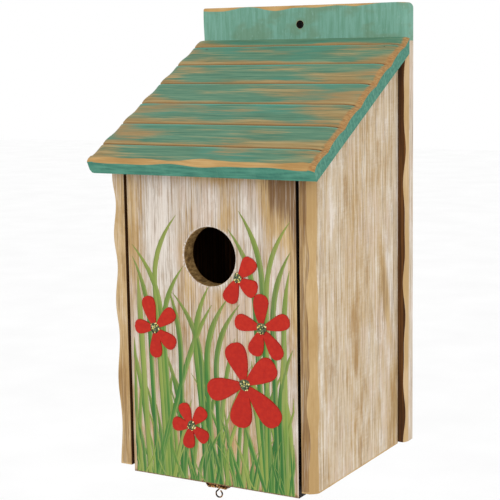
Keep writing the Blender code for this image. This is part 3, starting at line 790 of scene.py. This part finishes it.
def worn_green(name):
    """Green paint sanded through to pine. The mesh carries worn (how much is sanded off), bare
    and end (the planed strips), groove, whose middle takes painted shade, and a mark for the
    painted highlight: paler teal along each lath's upper edge, just below a groove."""
    coat = Finish(name, 0.70)
    streak = coat.cloud((22, 480, 480), 4, 1.0, 0.68)
    broad = coat.cloud((16, 60, 60), 3, 4.0)
    fine = coat.cloud((70, 1300, 1300), 2, 8.0)
    paint = coat.tones(streak, (0.36, "46715A"), (0.5, "557F66"), (0.64, "688C70"))
    paint = coat.glaze(paint, broad, 0.50, 0.62, 0.6, "478672")
    # Painted highlight: paler teal along each lath's upper edge, just below a groove.
    bright_coat = coat.product(coat.rise(coat.sum(coat.marked("bright_coat"), broad), 1.15, 1.4), 0.8)
    paint = coat.over(paint, bright_coat, shade("4AA090"))
    wood = coat.tones(streak, (0.36, "90703F"), (0.5, "A2824E"), (0.64, "B29564"))
    wood = coat.glaze(wood, broad, 0.50, 0.62, 0.4, "9C6C3A")
    uneven = coat.sum(
        coat.product(streak, 1.9), coat.product(broad, 1.2), coat.product(fine, 0.5), -1.8)
    cover = coat.sum(coat.marked("worn"), uneven)
    colour = coat.over(paint, coat.product(coat.rise(cover, -0.15, 0.6), 0.84), wood)
    groove = coat.marked("groove")
    colour = coat.glaze(colour, groove, 0.30, 0.62, 0.6, "A88252")
    # Painted shade: dark brown down the middle of each groove.
    colour = coat.over(colour, coat.rise(groove, 0.72, 0.92), shade("4A3218"))
    planed = coat.tones(broad, (0.38, "AE8852"), (0.5, "BC965F"), (0.62, "C8A46E"))
    planed = coat.glaze(planed, streak, 0.60, 0.42, 0.4, "966E3A")
    edge = coat.sum(coat.marked("bare"), coat.product(coat.sum(streak, broad, -1.0), 3.0))
    colour = coat.over(colour, coat.rise(edge, -0.3, 0.5), planed)
    rubbed = coat.sum(coat.marked("end"), coat.product(coat.sum(streak, broad, -1.0), 1.2))
    ends = coat.tones(fine, (0.36, "94683A"), (0.5, "A67A46"), (0.64, "B48C58"))
    colour = coat.over(colour, coat.product(coat.rise(rubbed, -0.4, 0.5), 0.9), ends)
    return coat.done(colour, coat.sum(coat.product(streak, 0.6), coat.product(fine, 0.4)), 0.3 * MM)


def green_edge(name, slant_share):
    """Thicker green on the roof's front and end edges, with paler brush strokes aslant."""
    coat = Finish(name, 0.62)
    streak = coat.cloud((60, 500, 500), 3, 6.0, 0.6)
    slant = coat.cloud((300, 300, 60), 3, 2.0, 0.6, 0.6)
    paint = coat.tones(streak, (0.36, "357060"), (0.5, "42806C"), (0.64, "508C78"))
    paint = coat.glaze(paint, slant, 0.50, 0.64, slant_share, "6A9E86")
    return coat.done(paint, coat.sum(coat.product(streak, 0.5), coat.product(slant, 0.5)), 0.25 * MM)


roof_board()


# Nails ----------------------------------------------------
# Small wire nails with sunk heads: four in the roof, two in each side low down, three up each
# edge of the back, and one in each side that the front hangs and turns on.

def nail_steel(name):
    metal = Finish(name, 0.5, 0.85)
    rust = metal.cloud((900, 900, 900), 3, 1.0)
    colour = metal.tones(rust, (0.36, "2A1E16"), (0.5, "43352A"), (0.66, "6A4A30"))
    return metal.done(colour, rust, 0.05 * MM, metal.rise(rust, 0.3, 0.9))


steel = nail_steel("nail_steel")
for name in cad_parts:
    if "_nail_" in name:
        finish_node(name, steel)


# Front ----------------------------------------------------
# One pine board between the sides with a bored entrance. It hangs on the two upper nails and
# swings out and up; a thin coat of lime is brushed down it, rubbed through in places.

ENTRANCE_RADIUS = 19.0 * MM
ENTRANCE_ABOVE_BOTTOM = 151.3 * MM
RIM = 1.0 * MM
EASED = 0.5 * MM
FRONT_TURNS = 220
FRONT_FACE_STEPS = 45
FRONT_BORE_STEPS = 6
FRONT_EDGE_STEPS = 5
FRONT_REAR_STEPS = 8
FRONT_GRAIN_RELIEF = 0.08 * MM

door_low, door_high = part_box("front_door")
door_face = door_low.y

# Patches of lime on the front, as on the sides, but across from the middle and in millimetres.
LIME_PATCHES = (
    ((54, 196), (16, 26), -2.6),
    ((63, 150), (5, 58), -1.9),
    ((-62, 165), (9, 40), -1.1),
    ((4, 206), (34, 7), -0.9),
    ((14, 178), (7, 12), -0.55),
    ((0, 0), (80, 62), -0.45),
    ((-17, 145), (6, 24), -0.6),
    ((4, 122), (22, 10), -0.35),
    ((-40, 172), (13, 34), 0.7),
    ((34, 176), (10, 26), 0.65),
    ((-33, 140), (9, 26), 0.40),
    ((60, 70), (7, 48), 0.5),
    ((20, 95), (30, 12), -0.2),
)


def door_lime(point):
    """Thickness of the lime on the front: rubbed away at the top corner and along both edges."""
    across = point.x / MM
    up = (point.z - door_low.z) / MM
    rim = math.hypot(across, up - ENTRANCE_ABOVE_BOTTOM / MM) - ENTRANCE_RADIUS / MM
    if rim < 1.0:
        return 0.7
    if up < 0.9:
        return -2.4
    return 0.15 + sum(patch(across, up, *oval) for oval in LIME_PATCHES)


def front_board():
    middle = Vector((0.0, 0.0, door_low.z + ENTRANCE_ABOVE_BOTTOM))
    half = door_high.x
    above = door_high.z - middle.z
    below = door_low.z - middle.z
    turns = [2 * math.pi * t for t in shares(FRONT_TURNS)[:-1]]
    turns += [math.atan2(z, x) % (2 * math.pi) for x in (half, -half) for z in (above, below)]
    turns.sort()

    def circle(radius, y):
        return [Vector((radius * math.cos(a), y, middle.z + radius * math.sin(a))) for a in turns]

    def border(inset, y):
        points = []
        for a in turns:
            x = math.cos(a)
            z = math.sin(a)
            upright_reach = (above if z > 0 else -below) / max(abs(z), 1e-9)
            reach = min(half / max(abs(x), 1e-9), upright_reach)
            px = max(-half + inset, min(half - inset, x * reach))
            pz = max(below + inset, min(above - inset, z * reach))
            points.append(Vector((px, y, middle.z + pz)))
        return points

    rear = door_high.y
    bore = door_face + RIM - rear
    rings = [circle(ENTRANCE_RADIUS, rear + bore * t) for t in shares(FRONT_BORE_STEPS)]
    rings.append(circle(ENTRANCE_RADIUS + 0.35 * RIM, door_face + 0.35 * RIM))
    inner = circle(ENTRANCE_RADIUS + RIM, door_face)
    outer = border(EASED, door_face)
    for t in shares(FRONT_FACE_STEPS):
        rings.append([a.lerp(b, t) for a, b in zip(inner, outer)])
    rings.append(border(0.3 * EASED, door_face + 0.3 * EASED))
    edge = rear - door_face - 2 * EASED
    rings += [border(0.0, door_face + EASED + edge * t) for t in shares(FRONT_EDGE_STEPS)]
    rear_outer = border(EASED, rear)
    rear_inner = circle(ENTRANCE_RADIUS, rear)
    for t in shares(FRONT_REAR_STEPS)[:-1]:
        rings.append([a.lerp(b, t) for a, b in zip(rear_outer, rear_inner)])

    def choose(centre, normal):
        from_axis = math.hypot(centre.x, centre.z - middle.z)
        if from_axis < ENTRANCE_RADIUS + 0.2 * RIM and abs(normal.y) < 0.5:
            return 2
        if abs(normal.x) > 0.9:
            return 3
        return 1 if normal.y > 0.9 else 0

    lime = limewashed_pine("limewash_front", 31.0, ("B8A896", "C9BDB0", "D6CDC4"))
    # The entrance's wall is a darker brown, partly end grain and partly painted shade inside the
    # bore.
    bored = drilled_pine("drilled_front", (0.36, "5E4526"), (0.5, "86683C"), (0.64, "A68656"))
    # Painted shadow: the front's side edges are near black, for the shade in the narrow gaps beside
    # the side panels.
    gap_shadow_edge = stain_and_shade_pine("front_edge_painted_gap_shadow", (0.34, "080402"), (0.5, "120A05"), (0.66, "1E1209"))
    finishes = [lime, stain_and_shade, bored, gap_shadow_edge]
    piece = skin("front_board", rings, finishes, choose, closed=True)

    mark(piece, "bare", lambda point: -2.0)
    mark(piece, "lime", door_lime)
    raise_grain(piece, UPRIGHT_GRAIN, FRONT_GRAIN_RELIEF)
    smooth(piece)
    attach(piece, "front")
    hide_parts("front_door")


front_board()


# Painted grass --------------------------------------------
# Blades of grass laid on the front by hand, each one stroke of a loaded brush from the foot of
# the board to a fine tip, so every stroke stands up a little from the wood and from the last.

FILM = 0.10 * MM
SUNK_EDGE = -0.1 * MM
STROKE_PROFILE = (-1, -0.95, -0.7, -0.35, 0, 0.35, 0.7, 0.95, 1)
THINNEST_STROKE = 0.06 * MM


def close_rings(bm, rings):
    """Faces from each ring to the next, and a cap on both ends."""
    count = len(rings[0])
    for here, there in zip(rings, rings[1:]):
        for i in range(count):
            j = (i + 1) % count
            bm.faces.new((here[i], here[j], there[j], there[i]))
    bm.faces.new(rings[0])
    bm.faces.new(rings[-1])


def brush_stroke(bm, layer, route, half_width_at, lift, tint, fall=0.6):
    """One low crowned ribbon of paint along a route on the front board. fall is the share of
    its lift that its edges lose."""
    rings = []
    last = len(route) - 1
    for i, place in enumerate(route):
        ahead = route[min(i + 1, last)] - route[max(i - 1, 0)]
        side = Vector((ahead.y, -ahead.x)).normalized()
        half_width = max(half_width_at(i / last), THINNEST_STROKE)
        ring = []
        for step in STROKE_PROFILE:
            spot = place + side * half_width * step
            crown = lift * (1 - fall * step ** 4) if abs(step) < 1 else SUNK_EDGE
            vert = bm.verts.new((spot.x, door_face - crown, door_low.z + spot.y))
            vert[layer] = (i / last, 0.5 + 0.5 * step, tint)
            ring.append(vert)
        rings.append(ring)
    close_rings(bm, rings)


def paint_piece(name, bm, finish):
    bmesh.ops.recalc_face_normals(bm, faces=bm.faces[:])
    mesh = bpy.data.meshes.new(name)
    bm.to_mesh(mesh)
    bm.free()
    mesh.materials.append(finish)
    piece = add_object(name, mesh)
    smooth(piece, 40)
    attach(piece, "front")


def grass_paint(name):
    """Greens mixed on the brush: darker one side, paler the other, yellowing to the tip."""
    coat = Finish(name, 0.55)
    along, across, tint = coat.marks("stroke")
    bristle = coat.cloud((900, 900, 26), 3, 5.0, 0.6)
    broad = coat.cloud((70, 70, 30), 2, 2.0)
    mixed = coat.sum(tint, coat.product(coat.sum(broad, -0.5), 0.9))
    green = coat.tones(mixed, (0.05, "2F6A2C"), (0.35, "407831"), (0.6, "5E8636"), (0.9, "879846"))
    green = coat.glaze(green, across, 0.52, 0.90, 0.6, "98A65E")
    green = coat.glaze(green, across, 0.38, 0.08, 0.65, "2C5E28")
    green = coat.glaze(green, along, 0.55, 1.0, 0.6, "8C9044")
    green = coat.glaze(green, bristle, 0.54, 0.68, 0.5, "969468")
    return coat.done(green, bristle, 0.08 * MM)


TIP_LENGTH = 21 * MM
STROKE_LIFT_STEP = 0.0018 * MM
BLADE_STEPS = 29
CURL_LENGTH = 50.0
BLADE_MARGIN = 60.0
FOOT_REACH = 61.0

# The tall blades: foot, height, lean and curl, in millimetres across and up the board.
TALL_BLADES = (
    (-36, 177, -9, 20), (-34, 156, -6, -20), (-44, 148, -5, -11), (-50, 136, -6, 0),
    (-31, 144, -8, 19), (-24, 128, 1, -9), (-6, 126, -3, -20), (-3, 132, -13, 15),
    (-44, 120, 38, 7), (-1, 125, -4, 18), (6, 122, -4, 20), (43, 182, -6, -15),
    (39, 170, -8, -17), (40, 177, 2, 17), (48, 158, -3, 14), (55, 146, -2, 5),
    (56, 98, -6, 3), (52, 96, -3, 11), (38, 86, -8, 0), (22, 84, 8, -4),
)


def blade_route(foot, height, lean, curl, bow=0.0):
    """A blade from its foot: it leans a little all the way up and curls over near the tip."""
    places = []
    for share in shares(BLADE_STEPS):
        tip_share = max(0.0, 1 - height * (1 - share) / CURL_LENGTH)
        x = foot + lean * share + curl * tip_share ** 2.3 + bow * math.sin(math.pi * share)
        x = max(-BLADE_MARGIN, min(BLADE_MARGIN, x))
        places.append(Vector((x * MM, (1.0 + (height - 1.0) * share) * MM)))
    return places


def painted_grass():
    chance = random.Random(7)
    bm = bmesh.new()
    layer = bm.verts.layers.float_vector.new("stroke")
    strokes = []

    def scatter(count, heights, leaning, half_widths):
        for i in range(count):
            foot = -FOOT_REACH + 2 * FOOT_REACH * (i + chance.random()) / count
            height = chance.uniform(*heights)
            lean = chance.uniform(-leaning, leaning) * height
            curl = math.copysign(chance.uniform(0, 0.16), lean) * height
            route = blade_route(foot, height, lean, curl, chance.uniform(-3, 3))
            strokes.append((route, chance.uniform(*half_widths)))

    scatter(24, (60, 100), 0.16, (1.2, 1.8))
    scatter(16, (30, 84), 0.34, (0.7, 1.2))
    strokes += [(blade_route(*blade), chance.uniform(1.7, 2.2)) for blade in TALL_BLADES]
    scatter(19, (24, 60), 0.26, (1.1, 1.7))
    scatter(20, (12, 40), 0.42, (0.6, 1.1))
    for number, (route, half_width) in enumerate(strokes):
        lift = FILM + STROKE_LIFT_STEP * number
        length = (route[-1] - route[0]).length
        tip_length = min(TIP_LENGTH, 0.7 * length)

        def half_width_at(share, half_width=half_width * MM):
            return half_width * min(1.0, (1 - share) * length / tip_length) ** 0.75

        brush_stroke(bm, layer, route, half_width_at, lift, chance.uniform(0.0, 1.0))
    paint_piece("painted_grass", bm, grass_paint("grass_paint"))


painted_grass()


# Painted flowers ------------------------------------------
# Five red flowers in thick paint over the grass. Each petal is one pressed stroke, widest near
# its tip, and each middle is a dark dab stippled with yellow, cream and black.

PETAL_LIFT = 0.70 * MM
PETAL_LIFT_STEP = 0.02 * MM
PETAL_FALL = 0.12
PETAL_STEPS = 31
DAB_LIFT = PETAL_LIFT + 0.10 * MM
DAB_HEIGHT = 0.35 * MM
DAB_SIDES = 28
SPECK_LIFT = PETAL_LIFT + 0.42 * MM
SPECK_HEIGHT = 0.15 * MM
SPECK_SIDES = 9


def petal_paint(name):
    coat = Finish(name, 0.45)
    along, across, tint = coat.marks("stroke")
    bristle = coat.cloud((420, 420, 420), 3, 9.0, 0.6)
    mixed = coat.sum(coat.product(bristle, 0.5), 0.25, coat.product(coat.sum(tint, -0.5), 0.10))
    red = coat.tones(mixed, (0.40, "AA1402"), (0.5, "B21A04"), (0.60, "BA220A"))
    off_middle = coat.product(coat.sum(across, -0.5), coat.sum(across, -0.5))
    red = coat.glaze(red, off_middle, 0.17, 0.25, 0.5, "861408")
    red = coat.glaze(red, along, 0.25, 0.0, 0.4, "8C1A0A")
    return coat.done(red, bristle, 0.05 * MM)


def dab_paint(name, dark, middle, light):
    coat = Finish(name, 0.5)
    mottle = coat.cloud((700, 700, 700), 3, 4.0)
    colour = coat.tones(mottle, (0.36, dark), (0.5, middle), (0.64, light))
    return coat.done(colour, mottle, 0.08 * MM)


# Each flower: name, middle on the board, half width of a petal and radius of the dab, all in
# millimetres, then the direction in degrees and the length of every petal.
FLOWERS = (
    ("1", (-43, 101), 5.3, 4.0, ((105, 22), (40, 20), (-35, 19), (-90, 20), (180, 16))),
    ("2", (21, 139), 5.9, 3.4, ((50, 17), (-30, 16), (-115, 18))),
    ("3", (38, 108), 5.5, 4.1, ((90, 22), (20, 21), (-55, 23), (-110, 19), (170, 20))),
    ("4", (25, 70), 7.9, 4.3, ((110, 28), (35, 27), (-45, 34), (-100, 29), (-165, 29))),
    ("5", (-16, 38), 4.9, 3.6, ((115, 16), (50, 16), (-35, 15), (-100, 16), (180, 15))),
)

petal_red = petal_paint("petal_red")
dab_dark = dab_paint("dab_dark", "2C3A22", "48563A", "6A7350")
dab_yellow = dab_paint("dab_yellow", "C9B74E", "E0D37C", "F0E8B8")
dab_black = dab_paint("dab_black", "14160F", "20231A", "33372A")


def petal_half_width(share):
    """Teardrop: from a narrow foot to full width three quarters out, then a round tip."""
    return 1.30 * share ** 0.72 * math.sqrt(max(0.0, 1 - share ** 5))


def dome(bm, middle, radius, height, base, sides):
    """Low round dab of paint on the front."""
    rings = []
    for share in (1.0, 0.85, 0.55, 0.2):
        level = base + height * (1 - share ** 2) if share < 1 else SUNK_EDGE
        ring = []
        for turn in shares(sides)[:-1]:
            angle = 2 * math.pi * turn
            wobble = 1 + 0.07 * math.sin(3 * angle + middle[0])
            x = middle[0] * MM + radius * wobble * share * math.cos(angle)
            z = middle[1] * MM + radius * wobble * share * math.sin(angle)
            ring.append(bm.verts.new((x, door_face - level, door_low.z + z)))
        rings.append(ring)
    close_rings(bm, rings)


def painted_flowers():
    chance = random.Random(21)
    for name, middle, half_width, dab_radius, petal_turns in FLOWERS:
        petals = bmesh.new()
        layer = petals.verts.layers.float_vector.new("stroke")
        for number, (turn, length) in enumerate(petal_turns):
            heading = Vector((math.cos(math.radians(turn)), math.sin(math.radians(turn))))
            side = Vector((heading.y, -heading.x)) * chance.uniform(-0.8, 0.8)
            route = []
            for share in shares(PETAL_STEPS):
                place = Vector(middle) + heading * length * share + side * math.sin(math.pi * share)
                route.append(place * MM)
            width = half_width * chance.uniform(1.02, 1.14) * MM

            def half_width_at(share, width=width):
                return width * petal_half_width(share)

            lift = PETAL_LIFT + PETAL_LIFT_STEP * number
            tint = chance.uniform(0, 1)
            brush_stroke(petals, layer, route, half_width_at, lift, tint, PETAL_FALL)
        paint_piece("petals_" + name, petals, petal_red)
        dab = bmesh.new()
        dome(dab, middle, dab_radius * MM, DAB_HEIGHT, DAB_LIFT, DAB_SIDES)
        paint_piece("flower_middle_" + name, dab, dab_dark)
        for tone, finish, count in (("yellow", dab_yellow, 15), ("black", dab_black, 9)):
            specks = bmesh.new()
            for _ in range(count):
                angle = chance.uniform(0, 2 * math.pi)
                out = dab_radius * math.sqrt(chance.uniform(0.02, 0.8))
                spot = (middle[0] + out * math.cos(angle), middle[1] + out * math.sin(angle))
                radius = chance.uniform(0.28, 0.62) * MM
                dome(specks, spot, radius, SPECK_HEIGHT, SPECK_LIFT, SPECK_SIDES)
            paint_piece(f"flower_specks_{tone}_{name}", specks, finish)


painted_flowers()


# Latch ----------------------------------------------------
# A brass turn button on a screw eye under the front's lower edge, held clear by a ferrule. One
# of its turned-up ends hooks behind a brass pin in the floor.

def aged_brass(name):
    metal = Finish(name, 0.35, 1.0)
    tarnish = metal.cloud((700, 700, 700), 4, 3.0, 0.6)
    colour = metal.tones(tarnish, (0.42, "160C06"), (0.5, "4E3018"), (0.58, "D0A068"))
    roughness = metal.product(metal.rise(tarnish, 0.75, 0.2), 0.6)
    return metal.done(colour, tarnish, 0.04 * MM, roughness)


brass = aged_brass("aged_brass")
for name in ("latch_spacer", "latch_screw_eye", "latch_button", "keeper_pin"):
    finish_node(name, brass)


# Studio ---------------------------------------------------
# A plain pale floor below the box, even white light all round, and one large soft lamp in front
# to the right. The camera looks at the box from the front right, a little above.

STUDIO_SIZE = 14.0
FLOOR_DROP = 0.9
CAMERA_AZIMUTH = math.radians(29.95)
CAMERA_ELEVATION = math.radians(8.45)
CAMERA_ROLL = math.radians(-0.902)
CAMERA_PLACE = Vector((0.44907, -0.86676, -0.01693))
CAMERA_LENS_MM = 97.15
CAMERA_SENSOR_MM = 36.0
LAMP_FROM_BOX = Vector((1.1, -1.5, 0.7))
LAMP_SIZE = 1.2
LAMP_WATTS = 7.0

ground = bmesh.new()
bmesh.ops.create_grid(ground, x_segments=8, y_segments=8, size=STUDIO_SIZE)
ground_mesh = bpy.data.meshes.new("studio_floor")
ground.to_mesh(ground_mesh)
ground.free()
paper = Finish("studio_paper", 0.9)
paper_tone = paper.cloud((3, 3, 3), 2)
paper_colour = paper.tones(paper_tone, (0.3, "FBFBFB"), (0.7, "FFFFFF"))
ground_mesh.materials.append(paper.done(paper_colour, paper_tone, 0.1 * MM))
studio_floor = add_object("studio_floor", ground_mesh)
studio_floor.location.z = cad_box[0][2] - FLOOR_DROP

world = bpy.data.worlds.new("studio")
bpy.context.scene.world = world
world.use_nodes = True
world.node_tree.nodes["Background"].inputs["Color"].default_value = (1.0, 1.0, 1.0, 1.0)
world.node_tree.nodes["Background"].inputs["Strength"].default_value = 1.0


box_middle = (Vector(cad_box[0]) + Vector(cad_box[1])) / 2
lamp_light = bpy.data.lights.new("front_lamp", "AREA")
lamp_light.size = LAMP_SIZE
lamp_light.energy = LAMP_WATTS
lamp = add_object("front_lamp", lamp_light)
lamp.location = box_middle + LAMP_FROM_BOX
lamp.rotation_euler = (-LAMP_FROM_BOX).to_track_quat("-Z", "Y").to_euler()

forward = Vector((
    -math.sin(CAMERA_AZIMUTH) * math.cos(CAMERA_ELEVATION),
    math.cos(CAMERA_AZIMUTH) * math.cos(CAMERA_ELEVATION),
    -math.sin(CAMERA_ELEVATION),
))
level_right = forward.cross(Vector((0, 0, 1))).normalized()
level_up = level_right.cross(forward)
camera_right = math.cos(CAMERA_ROLL) * level_right + math.sin(CAMERA_ROLL) * level_up
camera_up = math.cos(CAMERA_ROLL) * level_up - math.sin(CAMERA_ROLL) * level_right
lens = bpy.data.cameras.new("camera")
lens.lens = CAMERA_LENS_MM
lens.sensor_width = CAMERA_SENSOR_MM
camera = add_object("camera", lens)
camera_turn = Matrix((camera_right, camera_up, -forward)).transposed().to_4x4()
camera.matrix_world = Matrix.Translation(CAMERA_PLACE) @ camera_turn
bpy.context.scene.camera = camera
bpy.context.scene.view_settings.view_transform = "Standard"
